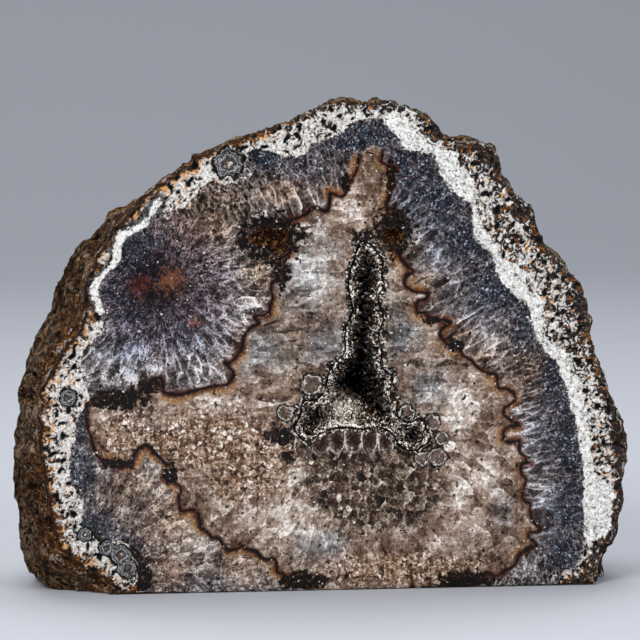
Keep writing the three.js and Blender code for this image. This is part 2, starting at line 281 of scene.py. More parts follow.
# Patches of one look, each as its place and its half width and half height
PATCHES = {
    "navy": [
        (-46, 84, 11, 9), (-45, 74, 11, 10), (-51, 49, 8, 5), (-58, 42, 4, 8), (-59, 30, 5, 9),
        (-56, 17, 6, 7), (-50, 12, 8, 4), (8, 113, 14, 7), (23, 106, 9, 9), (30, 98, 9, 9),
        (38, 87, 9, 9), (45, 76, 9, 9), (53, 65, 8, 9), (60, 50, 6, 10), (62, 35, 6, 11),
        (63, 20, 6, 11), (62, 8, 6, 7), (-14, 108, 5, 4), (-40, 76, 9, 6),
    ],
    "steel": [
        (30, 88, 10, 12), (22, 96, 6, 9), (40, 72, 8, 9), (-6, 106, 10, 5), (-48, 62, 10, 8),
        (58, 16, 6, 12), (-34, 64, 9, 7), (57, 38, 6, 9), (-24, 62, 5, 5), (-26, 2, 7, 4),
    ],
    "brown": [
        (-27, 92, 13, 10), (-30, 97, 8, 6), (-38, 18, 14, 14), (33, 62, 9, 7), (50, 55, 8, 9),
        (-22, 97, 8, 6), (-47, 26, 10, 9), (40, 57, 6, 5), (27, 76, 5, 5), (22, 84, 5, 6),
        (-15, 80, 6, 10), (-20, 60, 7, 7), (-10, 99, 10, 6), (-20, 6, 14, 8), (-38, 6, 10, 8),
    ],
    "lit": [
        (-40, 57, 14, 6), (-32, 14, 12, 9), (-20, 4, 10, 5), (-14, 98, 12, 5), (-38, 26, 7, 5),
        (26, 84, 5, 10), (42, 62, 7, 7), (52, 38, 5, 8), (57, 18, 5, 10), (50, 5, 6, 5),
    ],
    "cool": [
        (-4, 79, 12, 16), (-15, 60, 10, 8), (2, 62, 9, 9), (20, 63, 6, 11), (27, 51, 8, 7),
        (0, 11, 9, 5), (46, 20, 4, 7), (-44, 42, 6, 5),
    ],
    "pale": [
        (-2, 83, 8, 8), (0, 76, 6, 8), (-9, 19, 12, 12), (34, 45, 9, 7), (-6, 29, 7, 7),
        (42, 28, 7, 8), (30, 10, 6, 5), (8, 96, 4, 6), (-26, 46, 8, 4), (36, 20, 6, 8),
    ],
    "dim": [
        (-12, 64, 7, 7), (20, 6, 26, 7), (12, 101, 9, 9), (44, 12, 8, 9), (-6, 5, 9, 5),
        (-34, 37, 16, 8), (-46, 40, 9, 8), (-30, 26, 8, 8),
    ],
    "sugar": [(-28, 38, 22, 10), (-46, 39, 12, 9), (-10, 36, 9, 8), (-18, 28, 12, 8), (20, 5, 24, 5)],
    "crumbs": [(-46, 43.5, 7, 3), (-34, 41.8, 8, 3), (-21, 39.5, 8, 3), (-10, 37, 6, 2.6)],
    "maroon": [(-44.5, 76.5, 3.4, 3.8)],
    "orange": [(-36.8, 77.5, 4.2, 4.4), (-31, 67, 2.2, 2.4)],
    "ink": [
        (-12.8, 88, 9.5, 7), (-9.5, 80, 2.6, 5), (18.3, 89.5, 6, 7.4), (-50, 48.5, 9, 3.2),
        (-42.5, 51.5, 3.4, 2.2), (36, 1.5, 9, 3), (-4.5, 2, 7, 3), (-51, 32.5, 5, 1.5),
        (-37.3, 30, 2.4, 3), (28, 67, 2.6, 1.3), (34, 60.5, 3, 1.6), (17.5, 103, 1.2, 5),
        (-10, 39, 4.5, 3), (-8, 33.5, 2.6, 1.8), (6.5, 101.5, 1.6, 3), (11, 87.5, 3.6, 2.8),
        (-48, 7, 6.5, 6), (-44.5, 3, 4, 3), (22.5, 36, 4.6, 3.6), (17, 49, 2.4, 3),
        (-1, 37.5, 4, 2.4), (-58, 14, 4.5, 3.5), (-62, 47, 4, 5),
    ],
    "amber outside": [
        (3, 99.5, 6, 3.2), (8, 104.5, 3, 5), (-45, 33.5, 9, 4.5), (-38, 28, 5, 6),
        (-32, 17.5, 6, 6), (-21, 8.5, 9, 4), (-10, 4, 7, 4), (48, 47, 3, 5), (49, 39, 3, 4),
        (-9.5, 86, 3, 4), (32, 66, 4, 3), (24, 76, 3, 3),
    ],
    "amber inside": [
        (-8.5, 90.5, 5, 4), (-6.5, 84, 3, 6), (-11, 70, 3, 5), (-18, 58, 5, 6), (-24, 50, 7, 4),
        (-36, 47.5, 9, 4), (-50, 44, 6, 4), (15, 100, 4, 9), (19, 82, 4, 6), (25, 68, 4, 5),
        (32, 59, 5, 4), (43, 50, 4, 5), (44, 38, 3, 4), (48, 26, 3, 7), (49, 12, 4, 6),
        (-52, 36, 5, 4),
    ],
    "open line": [(12.5, 110.5, 4, 3), (15, -3, 22, 4.5)],
}
# Round bodies cut by the section, each as its place and its radius: ringed eyes in the rock, and
# quartz points cut across around the mouth of the hollow
EYES = [
    (-22.5, 106.5, 3.8), (-49.5, 9.8, 2.7), (-48, 6.3, 2.5), (-53, 11.5, 2), (-58.5, 15, 1.8),
    (-62.5, 49, 2.2),
]
CUT_POINTS = [
    (-2, 51.5, 2.9), (21.5, 43.8, 2.6), (28.2, 41.5, 2.2), (30.5, 37.5, 1.8), (25.5, 32.6, 2),
    (29.5, 32.8, 2.4), (-8.5, 44.5, 2.2),
]
# The row of larger quartz points under the mouth, each as its place, half width and half height
ARCHES = [(-4 + 4.1 * i, 36.4 + 1.8 * math.sin(0.6 * i), 2.5 - 0.1 * i, 4.4) for i in range(6)]


def rounded(corners, steps=3):
    """The closed line through the corners, with its bends rounded by a Catmull-Rom curve."""
    count = len(corners)
    line = []
    for i in range(count):
        before, start, end, after = (Vector(corners[(i + k) % count]) for k in (-1, 0, 1, 2))
        for step in range(steps):
            t = step / steps
            line.append((
                2 * start + (end - before) * t
                + (2 * before - 5 * start + 4 * end - after) * t ** 2
                + (3 * start - before - 3 * end + after) * t ** 3) / 2)
    return [tuple(p) for p in line]


def measure_closed(places, corners):
    return measure(places, corners, corners[1:] + corners[:1])


def patch_share(places, patches):
    share = np.zeros(len(places))
    for x, z, half_width, half_height in patches:
        away = np.hypot((places[:, 0] - x) / half_width, (places[:, 1] - z) / half_height)
        share = np.maximum(share, np.clip(1.2 - away, 0, 1))
    return share


def rings_out(places, bodies):
    """How many radii away from the middle of the nearest round body, up to 3."""
    return np.min([np.full(len(places), 3.0)] + [
        np.hypot(places[:, 0] - x, places[:, 1] - z) / radius for x, z, radius in bodies], axis=0)


def keep(mesh, name, values):
    mesh.attributes.new(name, "FLOAT", "POINT").data.foreach_set(
        "value", np.asarray(values, np.float32))


places = on_face([v.co for v in stone_mesh.vertices])
from_wall, along_wall = measure_closed(places, rounded(GROWN_FROM, 6))
inside_quartz = measure_closed(places, QUARTZ_EDGE)[0]
inside_porcelain = measure_closed(places, rounded(PORCELAIN_EDGE))[0]
in_vein = 0.9 - abs(measure(places, VEIN[:-1], VEIN[1:])[0])
behind_edge = abs(measure(places, *outer_rim)[0])
keep(stone_mesh, "from wall", from_wall)
keep(stone_mesh, "along wall", along_wall)
keep(stone_mesh, "inside quartz", inside_quartz)
keep(stone_mesh, "inside line", measure_closed(places, rounded(SCALLOPED_LINE))[0])
keep(stone_mesh, "inside smoky", measure_closed(places, rounded(SMOKY_EDGE))[0])
keep(stone_mesh, "outside hollow", -measure(places, *mouth_rim)[0])
keep(stone_mesh, "inside porcelain", np.maximum(inside_porcelain, in_vein))
keep(stone_mesh, "in vein", in_vein)
keep(stone_mesh, "behind edge", behind_edge)
keep(stone_mesh, "eye rings", rings_out(places, EYES))
keep(stone_mesh, "cut points", rings_out(places, CUT_POINTS))
keep(stone_mesh, "arches", np.min([
    np.hypot((places[:, 0] - x) / half_width, (places[:, 1] - z) / half_height)
    for x, z, half_width, half_height in ARCHES], axis=0))
for name, patches in PATCHES.items():
    keep(stone_mesh, name, patch_share(places, patches))
keep(stone_mesh, "relief", [rind_relief(in_millimetres(v.co)) for v in stone_mesh.vertices])

# The rock at the edge is porous, so the polish leaves small open pits in it
PIT_DEPTH = 2.2
PIT_MARGIN = 0.4
section_points = {i for f in stone_mesh.polygons if f.material_index == SECTION for i in f.vertices}
rim_points = {i for f in stone_mesh.polygons if f.material_index != SECTION for i in f.vertices}
pit_depths = np.zeros(len(places))
for i in section_points - rim_points:
    if max(inside_quartz[i], inside_porcelain[i], in_vein[i]) < -PIT_MARGIN:
        spot = Vector((places[i][0], 0, places[i][1]))
        hole = noise.noise(spot / 1.5) + 0.4 * noise.noise(spot / 0.8)
        pit_depths[i] = PIT_DEPTH * min(max(0.0, hole - 0.16), 0.6)
        stone_mesh.vertices[i].co.y += pit_depths[i] * MM
keep(stone_mesh, "pit", pit_depths)
stone_mesh.set_sharp_from_angle(angle=math.radians(50))


def add_object(name, data):
    thing = bpy.data.objects.new(name, data)
    bpy.context.scene.collection.objects.link(thing)
    return thing


agate_half = add_object("agate_half", stone_mesh)


class Finish:
    """Lays the nodes of a material or of a group, and wires each as it is laid."""

    def __init__(self, tree):
        self.tree = tree

    def put(self, kind, inputs, **settings):
        node = self.tree.nodes.new(kind)
        for name, value in settings.items():
            setattr(node, name, value)
        for socket, value in inputs.items():
            if isinstance(value, bpy.types.NodeSocket):
                self.tree.links.new(value, node.inputs[socket])
            else:
                node.inputs[socket].default_value = value
        return node.outputs

    def maths(self, how, first, second=0.0):
        return self.put("ShaderNodeMath", {0: first, 1: second}, operation=how)[0]

    def times(self, first, second):
        return self.maths("MULTIPLY", first, second)

    def plus(self, *terms):
        """The sum of the terms, where a pair counts as its first value times its second."""
        terms = [self.times(*term) if isinstance(term, tuple) else term for term in terms]
        total = terms[0]
        for term in terms[1:]:
            total = self.maths("ADD", total, term)
        return total

    def rise(self, value, low, high):
        ends = {"Value": value, "From Min": low, "From Max": high}
        return self.put("ShaderNodeMapRange", ends, interpolation_type="SMOOTHSTEP")[0]

    def over(self, share, under, top, blend_type="MIX"):
        return self.put("ShaderNodeMix", {0: share, 6: under, 7: top},
                        data_type="RGBA", blend_type=blend_type)[2]

    def between(self, share, first, second):
        return self.put("ShaderNodeMix", {0: share, 2: first, 3: second}, data_type="FLOAT")[0]

    def ramp(self, value, stops):
        shades = self.put("ShaderNodeValToRGB", {0: value})[0]
        elements = shades.node.color_ramp.elements
        for i, (share, colour) in enumerate(stops):
            element = elements[i] if i < 2 else elements.new(share)
            element.position = share
            element.color = colour
        return shades

    def vector(self, how, first, second):
        return self.put("ShaderNodeVectorMath", {0: first, 1: second}, operation=how)[0]

    def scaled(self, place, scale):
        return self.put("ShaderNodeVectorMath", {0: place, "Scale": scale}, operation="SCALE")[0]

    def grain(self, place, scale, detail=2.0, roughness=0.5):
        return self.put("ShaderNodeTexNoise", {
            "Vector": place, "Scale": scale, "Detail": detail, "Roughness": roughness})

    def cells(self, place, scale, feature="F1"):
        return self.put("ShaderNodeTexVoronoi", {"Vector": place, "Scale": scale}, feature=feature)

    def flat(self, across, along, seed=0.0):
        return self.put("ShaderNodeCombineXYZ", {0: across, 1: along, 2: seed})[0]

    def shift(self, place, amount, scale):
        """The place moved about by a noise of that scale, by up to about half of that amount."""
        centred = self.vector("SUBTRACT", self.grain(place, scale)[1], (0.5, 0.5, 0.5))
        return self.vector("ADD", place, self.scaled(centred, amount))

    def kept(self, name):
        return self.put("ShaderNodeAttribute", {}, attribute_name=name)[2]

    def group(self, tree, inputs):
        return self.put("ShaderNodeGroup", inputs, node_tree=tree)

    def millimetres(self):
        return self.scaled(self.put("ShaderNodeTexCoord", {})["Object"], 1000)


def paint(red, green, blue):
    """A colour as it looks on screen, from 0 to 255, as the light values that Blender mixes."""
    return tuple((part / 255) ** 2.2 for part in (red, green, blue)) + (1.0,)


def new_group(name, wants, gives):
    tree = bpy.data.node_groups.new(name, "ShaderNodeTree")
    for label, kind in wants.items():
        tree.interface.new_socket(label, in_out="INPUT", socket_type="NodeSocket" + kind)
    for label, kind in gives.items():
        tree.interface.new_socket(label, in_out="OUTPUT", socket_type="NodeSocket" + kind)
    return tree, Finish(tree), tree.nodes.new("NodeGroupInput").outputs


def new_material(name):
    material = bpy.data.materials.new(name)
    material.use_nodes = True
    material.node_tree.nodes.clear()
    return material, Finish(material.node_tree)


def close_material(finish, **shader):
    surface = finish.put("ShaderNodeBsdfPrincipled", {
        label.replace("_", " "): value for label, value in shader.items()})
    finish.put("ShaderNodeOutputMaterial", {"Surface": surface[0]})


# Crystals cut across: each has a tone of its own plus painted facet shade, one side painted lighter
# and the other darker, as a facet under the polish catching the light
cut_crystals, cut, wanted = new_group(
    "cut crystals", {"Place": "Vector"}, {"Tone and facet shade": "Float", "Edge": "Float"})
cell = cut.cells(wanted["Place"], 1.0)
# Painted facet shade: a random side of each crystal is painted lighter and the opposite side darker
facet_light_direction = cut.vector("SUBTRACT", cell["Color"], (0.5, 0.5, 0.5))
painted_facet_shade = cut.put("ShaderNodeVectorMath", {
    0: facet_light_direction, 1: cut.vector("SUBTRACT", wanted["Place"], cell["Position"])},
    operation="DOT_PRODUCT")["Value"]
own = cut.put("ShaderNodeSeparateColor", {0: cell["Color"]})[0]
cut.put("NodeGroupOutput", {
    "Tone and facet shade": cut.plus((own, 0.6), (painted_facet_shade, 1.6), 0.2),
    "Edge": cut.cells(wanted["Place"], 1.0, "DISTANCE_TO_EDGE")[0]})

# Quartz grown in a fan: long crystals side by side, fibres along them, and thin white threads
quartz_fan, fan, wanted = new_group(
    "quartz fan", {"Across": "Float", "Along": "Float", "Width": "Float", "Length": "Float"},
    {"Tone and facet shade": "Float", "Edge": "Float", "Fibre": "Float", "Thread": "Float"})
crystal_place = fan.shift(fan.flat(
    fan.maths("DIVIDE", wanted["Across"], wanted["Width"]),
    fan.maths("DIVIDE", wanted["Along"], wanted["Length"])), 0.7, 1.1)
crystals = fan.group(cut_crystals, {"Place": crystal_place})
fibre_place = fan.shift(fan.flat(
    fan.times(wanted["Across"], 0.9), fan.times(wanted["Along"], 0.5), 5), 1.6, 0.6)
fibre = fan.grain(fibre_place, 1.0, 4, 0.68)[0]
thread_place = fan.shift(fan.flat(
    fan.times(wanted["Across"], 0.5), fan.times(wanted["Along"], 0.2), 9), 1.4, 0.6)
crossing = fan.maths("ABSOLUTE", fan.plus(fan.grain(thread_place, 1.0, 4, 0.6)[0], -0.5))
fan.put("NodeGroupOutput", {
    "Tone and facet shade": crystals["Tone and facet shade"], "Edge": crystals["Edge"], "Fibre": fan.rise(fibre, 0.32, 0.68),
    "Thread": fan.rise(crossing, 0.045, 0.0)})

# Painted glints: small white highlights strewn at random, painted into the colour as bright facets
# catching the light
painted_glints, bright, wanted = new_group(
    "painted_glints", {"Place": "Vector", "Rarity": "Float"}, {"Painted glint": "Float"})
facets = bright.cells(bright.shift(wanted["Place"], 1.2, 1.6), 1.5)
drawn = bright.put("ShaderNodeSeparateColor", {0: facets[1]})
picked = bright.maths("GREATER_THAN", drawn[0], wanted["Rarity"])
reach = bright.rise(facets[0], bright.plus((drawn[1], 0.3), 0.15), 0.05)
bright.put("NodeGroupOutput", {"Painted glint": bright.times(picked, reach)})

# Speckled rock: white, black and rusty grains, with curled white bands among them
speckled_rock, rock, wanted = new_group(
    "speckled rock", {"Place": "Vector", "Whiteness": "Float", "Rustiness": "Float"},
    {"Color": "Color", "Height": "Float"})
spot_place = rock.shift(wanted["Place"], 1.5, 0.6)
spots = rock.grain(spot_place, 0.62, 5, 0.78)[0]
curl = rock.cells(rock.shift(wanted["Place"], 2.5, 0.35), 0.3)[0]
curled = rock.times(rock.maths("SINE", rock.times(curl, 22)), 0.055)
blotch = rock.plus(rock.grain(wanted["Place"], 0.14, 3, 0.6)[0], -0.5)
whitish = rock.plus(
    spots, curled, (wanted["Whiteness"], 0.14), (blotch, 0.35), -0.09)
white_share = rock.rise(whitish, 0.495, 0.53)
patchy = rock.grain(rock.shift(wanted["Place"], 2, 0.4), 0.5, 4, 0.7)[0]
rusty = rock.rise(rock.plus(patchy, (wanted["Rustiness"], 0.1)), 0.56, 0.62)
dark = rock.ramp(rock.grain(spot_place, 2.4, 3, 0.7)[0], [
    (0.38, paint(6, 6, 8)), (0.52, paint(26, 23, 24)), (0.62, paint(72, 62, 56)),
    (0.72, paint(150, 138, 126))])
dark = rock.over(rusty, dark, rock.ramp(rock.grain(spot_place, 1.4, 3, 0.7)[0], [
    (0.36, paint(34, 18, 9)), (0.5, paint(92, 56, 28)), (0.6, paint(160, 100, 42)),
    (0.7, paint(214, 158, 84))]))
light = rock.ramp(rock.grain(wanted["Place"], 1.6, 4, 0.7)[0], [
    (0.3, paint(120, 115, 110)), (0.5, paint(210, 206, 200)), (0.64, paint(250, 248, 244))])
stained_light = rock.rise(rock.plus(
    rock.grain(rock.shift(wanted["Place"], 1.5, 0.8), 0.8, 3, 0.7)[0],
    (wanted["Rustiness"], 0.12)), 0.62, 0.67)
light = rock.over(rock.times(stained_light, 0.9), light, paint(206, 138, 58))
rock.put("NodeGroupOutput", {"Color": rock.over(white_share, dark, light), "Height": white_share})

section, look = new_material("polished agate")
place = look.millimetres()
parts = look.put("ShaderNodeSeparateXYZ", {0: place})
moved = look.shift(place, 1.6, 0.55)
aslant = look.put("ShaderNodeMapping", {0: place, 2: (0.7, 0.4, 0.9)})[0]
waver = look.plus(look.grain(aslant, 0.7, 4, 0.65)[0], -0.5)
broad_waver = look.plus(look.grain(aslant, 0.16, 3)[0], -0.5)
fine_grit = look.plus(look.grain(look.shift(aslant, 0.5, 1.5), 1.7, 4, 0.7)[0], -0.5)
into_quartz = look.plus(look.kept("inside quartz"), (waver, 3))
into_line = look.plus(look.kept("inside line"), (waver, 1.1))


def polar(middle_x, middle_z, radius):
    """Around a middle, in millimetres at that radius, and millimetres out from the middle."""
    across = look.plus(parts[0], -middle_x)
    down = look.plus((parts[2], -1), middle_z)
    around = look.times(look.maths("ARCTAN2", across, down), radius)
    out = look.maths("SQRT", look.plus((across, across), (down, down)))
    return around, out


def inside_all(*edges):
    """The share inside several soft edges, each given as a value and its two ends."""
    share = 1.0
    for value, outer_end, inner_end in edges:
        share = look.times(share, look.rise(value, outer_end, inner_end))
    return share


def choose(share, first, second):
    """The second fan's two measures where the share is over a half, and else the first fan's."""
    picked = look.maths("GREATER_THAN", share, 0.5)
    return [look.between(picked, *pair) for pair in zip(first, second)]


# Fans of crystals grew from the middle of the left lobe, from the lower left corner, from the
# other walls, and inside the dark line towards the hollow. They start fine and end broad.
right = look.plus(parts[0], (broad_waver, 10))
up = look.plus(parts[2], (broad_waver, 12))
in_low = inside_all((up, 42, 34), (right, 6, -4))
fan_place = choose(in_low, (look.kept("along wall"), look.kept("from wall")), polar(-66, 0, 45))
lobe_fan = polar(-40, 77, 22)
lobe_out = lobe_fan[1]
in_lobe = inside_all(
    (look.plus(lobe_out, (broad_waver, 12)), 38, 30), (up, 44, 52), (right, -4, -10),
    (up, 96, 88))
fan_place = choose(in_lobe, fan_place, lobe_fan)
slot_x, slot_foot = 11, 44
aside = look.plus(parts[0], -slot_x)
below = look.maths("MAXIMUM", look.plus((parts[2], -1), slot_foot), 0.0)
above = look.maths("MAXIMUM", look.plus(parts[2], -slot_foot), 0.0)
slot_around = look.plus(
    (look.maths("ARCTAN2", aside, below), 25),
    (look.maths("SIGN", aside), above))
slot_out = look.maths("SQRT", look.plus((aside, aside), (below, below)))
within_line = look.rise(into_line, -0.12, 0.12)
fan_place = choose(within_line, fan_place, (slot_around, slot_out))
fine_fan, broad_fan = [look.group(quartz_fan, {
    "Across": fan_place[0], "Along": fan_place[1], "Width": width, "Length": length})
    for width, length in ((1.1, 1.6), (2.1, 5.5))]
age_lobe = look.rise(lobe_out, 6, 24)
age_wall = look.rise(look.plus(look.kept("inside quartz"), (broad_waver, 8)), 1, 13)
age = look.between(within_line, look.between(in_lobe, age_wall, age_lobe), 0.7)
fan_parts = {
    part: look.between(age, fine_fan[part], broad_fan[part])
    for part in ("Tone and facet shade", "Edge", "Fibre", "Thread")}

# The quartz outside the line
cloud = look.plus(look.grain(look.shift(aslant, 2, 0.4), 0.42, 4, 0.65)[0], -0.5)
veil = look.times(look.rise(fan_parts["Edge"], 0.24, 0.0), look.rise(waver, -0.25, 0.1))
web = look.cells(look.shift(place, 2.2, 0.9), 0.9, "DISTANCE_TO_EDGE")[0]
webbed = look.times(look.rise(web, 0.14, 0.0), look.rise(cloud, -0.15, 0.12))
chips = look.group(cut_crystals, {"Place": look.scaled(moved, 0.8)})
chunks = look.group(cut_crystals, {"Place": look.vector("MULTIPLY", moved, (0.42, 0.42, 0.34))})
fan_light = look.plus(
    (fan_parts["Tone and facet shade"], 0.46), (fan_parts["Fibre"], 0.1),
    (fan_parts["Thread"], 0.1), (veil, 0.42), (age, 0.1),
    (look.times(webbed, in_lobe), 0.34), -0.1)
heap_light = look.plus(
    (chunks["Tone and facet shade"], 0.3), (look.rise(chunks["Edge"], 0.14, 0.0), 0.12),
    (chips["Tone and facet shade"], 0.3), (fan_parts["Tone and facet shade"], 0.3),
    (fan_parts["Thread"], 0.2), 0.07)
outer_light = look.plus(
    look.between(look.times(in_low, 0.7), fan_light, heap_light), (cloud, 0.7),
    (look.kept("lit"), 0.14), (fine_grit, 1.3))
outer_quartz = look.ramp(outer_light, [
    (0.0, paint(6, 5, 6)), (0.25, paint(44, 38, 39)), (0.5, paint(98, 90, 88)),
    (0.75, paint(166, 160, 160)), (1.0, paint(244, 242, 244))])
outer_quartz = look.over(look.kept("brown"), outer_quartz, paint(250, 226, 200), "MULTIPLY")
outer_quartz = look.over(look.kept("steel"), outer_quartz, paint(216, 232, 252), "MULTIPLY")
lilac = look.times(in_lobe, look.rise(age_lobe, 1.0, 0.3))
outer_quartz = look.over(lilac, outer_quartz, paint(212, 202, 216), "MULTIPLY")
navy = look.rise(look.plus(
    look.kept("navy"), (waver, 1.2), (broad_waver, 0.8)), 0.1, 0.85)
night = look.ramp(look.plus(
    (fan_parts["Fibre"], 0.14), (fan_parts["Thread"], 0.12),
    (webbed, 0.16), (fine_grit, 2.1), (cloud, 0.6), 0.28), [
    (0.0, paint(3, 5, 9)), (0.4, paint(16, 24, 36)), (0.62, paint(64, 78, 96)),
    (0.82, paint(216, 224, 232))])
outer_quartz = look.over(look.times(navy, 0.84), outer_quartz, night)
lobe_heart = look.times(look.rise(look.plus(lobe_out, (waver, 14)), 15, 3), in_lobe)
outer_quartz = look.over(
    look.times(lobe_heart, 0.92), outer_quartz, paint(70, 54, 66), "MULTIPLY")
for name, shade in {"maroon": paint(92, 30, 10), "orange": paint(150, 94, 66)}.items():
    stained = look.rise(look.plus(
        look.kept(name), (fine_grit, 3.6), (waver, 3), (cloud, 1.6)),
        0.1, 1.4)
    outer_quartz = look.over(look.times(stained, 0.62), outer_quartz, shade)

# The quartz inside the line, with warm, pale, bluish, sugary and smoky parts
flecked = look.rise(chips["Edge"], 0.1, 0.0)
inner_light = look.plus(
    (fan_parts["Tone and facet shade"], 0.5), (look.rise(fan_parts["Edge"], 0.16, 0.0), 0.07),
    (chips["Tone and facet shade"], 0.18), (flecked, 0.06),
    (fine_grit, 0.8), (cloud, 0.9), (broad_waver, 0.6), -0.01)
inner_light = look.plus(
    inner_light, (look.kept("pale"), 0.25), (look.kept("dim"), -0.06))
cool_quartz = look.ramp(inner_light, [
    (0.0, paint(28, 27, 28)), (0.32, paint(100, 98, 99)), (0.58, paint(160, 157, 156)),
    (0.9, paint(246, 245, 244))])
warm_quartz = look.ramp(inner_light, [
    (0.0, paint(36, 22, 14)), (0.32, paint(114, 92, 76)), (0.58, paint(172, 152, 137)),
    (0.9, paint(250, 244, 237))])
coolness = look.rise(look.plus(
    look.kept("cool"), (broad_waver, 1.6), (waver, 0.8)), -0.1, 1.3)
inner_quartz = look.over(coolness, warm_quartz, cool_quartz)
sugar_light = look.plus(
    (chips["Tone and facet shade"], 0.6), (fine_grit, 2.0), (cloud, 0.7), 0.22)
sugar = look.ramp(sugar_light, [
    (0.1, paint(28, 15, 8)), (0.35, paint(96, 66, 45)), (0.55, paint(156, 124, 100)),
    (0.75, paint(206, 182, 160)), (0.92, paint(252, 246, 238))])
sugary = look.rise(look.plus(look.kept("sugar"), waver, (cloud, 0.8)), 0.1, 0.7)
inner_quartz = look.over(look.times(sugary, 0.75), inner_quartz, sugar)
crumb = look.cells(look.shift(place, 1.0, 1.2), 0.85)
crumb_drawn = look.put("ShaderNodeSeparateColor", {0: crumb[1]})[0]
crumb_size = look.times(look.rise(look.kept("crumbs"), 0.1, 0.9), look.rise(crumb_drawn, 0.35, 0.9))
crumbly = look.rise(crumb[0], look.times(crumb_size, 0.75), look.times(crumb_size, 0.45))
inner_quartz = look.over(look.times(crumbly, look.rise(crumb_size, 0.05, 0.2)), inner_quartz,
                         paint(238, 228, 222))
smoky_light = look.plus(
    (chunks["Tone and facet shade"], 0.5), (look.rise(chunks["Edge"], 0.2, 0.0), 0.14),
    (chips["Tone and facet shade"], 0.24), (fine_grit, 1.5), (cloud, 0.6), 0.01)
smoky = look.ramp(smoky_light, [
    (0.0, paint(12, 7, 4)), (0.28, paint(56, 40, 30)), (0.5, paint(108, 90, 76)),
    (0.72, paint(166, 148, 134)), (0.95, paint(240, 232, 224))])
into_smoky = look.rise(look.plus(
    look.kept("inside smoky"), (waver, 7), (broad_waver, 9)), -2.5, 3.5)
inner_quartz = look.over(into_smoky, inner_quartz, smoky)

# The dark line and its amber halo
halo = look.ramp(look.times(look.maths("ABSOLUTE", into_line), 0.25), [
    (0.0, paint(38, 16, 5)), (0.16, paint(92, 48, 16)), (0.4, paint(146, 104, 60)),
    (0.8, paint(166, 142, 114))])
halo = look.over(look.times(look.rise(fine_grit, 0.0, 0.16), 0.5), halo, paint(236, 214, 180))
halo_reach = look.plus(3.0, (broad_waver, 6), (cloud, 3))
amber_in = look.times(look.kept("amber inside"), look.rise(into_line, halo_reach, 0.2))
amber_out = look.times(look.kept("amber outside"), look.rise(
    look.times(into_line, -1), look.times(halo_reach, 0.9), 0.2))
inner_quartz = look.over(
    look.times(look.rise(amber_in, 0.0, 0.6), 0.8), inner_quartz, halo)
outer_quartz = look.over(
    look.times(look.rise(amber_out, 0.0, 0.6), 0.9), outer_quartz, halo)
quartz = look.over(within_line, outer_quartz, inner_quartz)
closed = look.rise(look.kept("open line"), 0.5, 0.1)
line_width = look.plus(look.rise(look.grain(place, 0.3, 2)[0], 0.35, 0.72), 0.3)
to_line = look.maths("ABSOLUTE", into_line)
fringe = look.times(look.rise(to_line, look.plus(line_width, 0.55), 0.25), closed)
core = look.times(look.rise(to_line, look.plus((line_width, 0.75), 0.1), 0.12), closed)
quartz = look.over(look.times(fringe, 0.85), quartz, paint(82, 38, 10))
quartz = look.over(core, quartz, paint(12, 7, 5))
ink_edge = look.plus(
    look.kept("ink"), (waver, 2.6), (cloud, 0.6), (fine_grit, 0.8))
ink = look.ramp(look.grain(moved, 1.1, 4, 0.75)[0], [
    (0.45, paint(3, 3, 4)), (0.56, paint(22, 13, 8)), (0.64, paint(92, 60, 34)),
    (0.72, paint(196, 184, 168))])
quartz = look.over(look.rise(ink_edge, 0.3, 0.38), quartz, ink)

# Quartz points cut across around the mouth, and the broken dark seam beside the crust
cut_ring = look.plus(look.kept("cut points"), (waver, 0.9), (cloud, 1.0))
cut_light = look.plus(
    (cloud, 1.2), (fine_grit, 1.2), (cut_ring, -0.25), 0.5)
cut_body = look.ramp(cut_light, [
    (0.1, paint(30, 19, 12)), (0.45, paint(98, 82, 72)), (0.9, paint(150, 138, 128))])
cut_outline = look.times(look.rise(cut_ring, 0.74, 0.8), look.rise(cut_ring, 0.92, 0.86))
cut_body = look.over(look.times(cut_outline, look.rise(waver, -0.15, 0.1)), cut_body,
                     paint(214, 206, 198))
cut_body = look.over(look.rise(cut_ring, 0.88, 0.95), cut_body, paint(8, 7, 7))
quartz = look.over(look.rise(cut_ring, 1.14, 1.06), quartz, cut_body)
arch = look.plus(look.kept("arches"), (waver, 0.5), (fine_grit, 0.2))
arch_body = look.ramp(look.plus(
    (arch, 0.3), (cloud, 1.0), (fine_grit, 1.2), 0.05), [
    (0.0, paint(16, 10, 7)), (0.2, paint(62, 40, 26)), (0.36, paint(88, 72, 62)),
    (0.55, paint(186, 176, 168))])
arch_top = look.rise(look.plus(parts[2], (waver, 3)), 32.5, 36.5)
arch_line = look.times(arch_top, look.times(
    look.rise(arch, 0.84, 0.9), look.rise(arch, 1.0, 0.94)))
arch_body = look.over(look.times(arch_line, 0.85), arch_body, paint(214, 206, 198))
arch_body = look.over(look.rise(arch, 0.97, 1.04), arch_body, paint(6, 5, 5))
arch_share = look.times(
    look.rise(arch, look.plus((arch_top, 0.24), 1.0), 0.9), look.plus(
        (arch_top, 0.4), (look.rise(parts[2], 31, 36), 0.6)))
quartz = look.over(arch_share, quartz, arch_body)
from_mouth = look.plus(
    look.kept("outside hollow"), (waver, 3.6), (cloud, 4.5),
    (fine_grit, 1.2))
seam = look.ramp(look.plus((fine_grit, 2.4), (waver, 1.2), 0.5), [
    (0.45, paint(4, 3, 3)), (0.56, paint(42, 32, 26)), (0.64, paint(128, 114, 100)),
    (0.74, paint(232, 228, 222))])
quartz = look.over(look.rise(from_mouth, 0.95, 0.7), quartz, seam)

# Painted highlights: scattered white glints painted over the quartz
painted_glint = look.group(painted_glints, {"Place": place, "Rarity": 0.9})["Painted glint"]
quartz = look.over(painted_glint, quartz, paint(250, 250, 250))

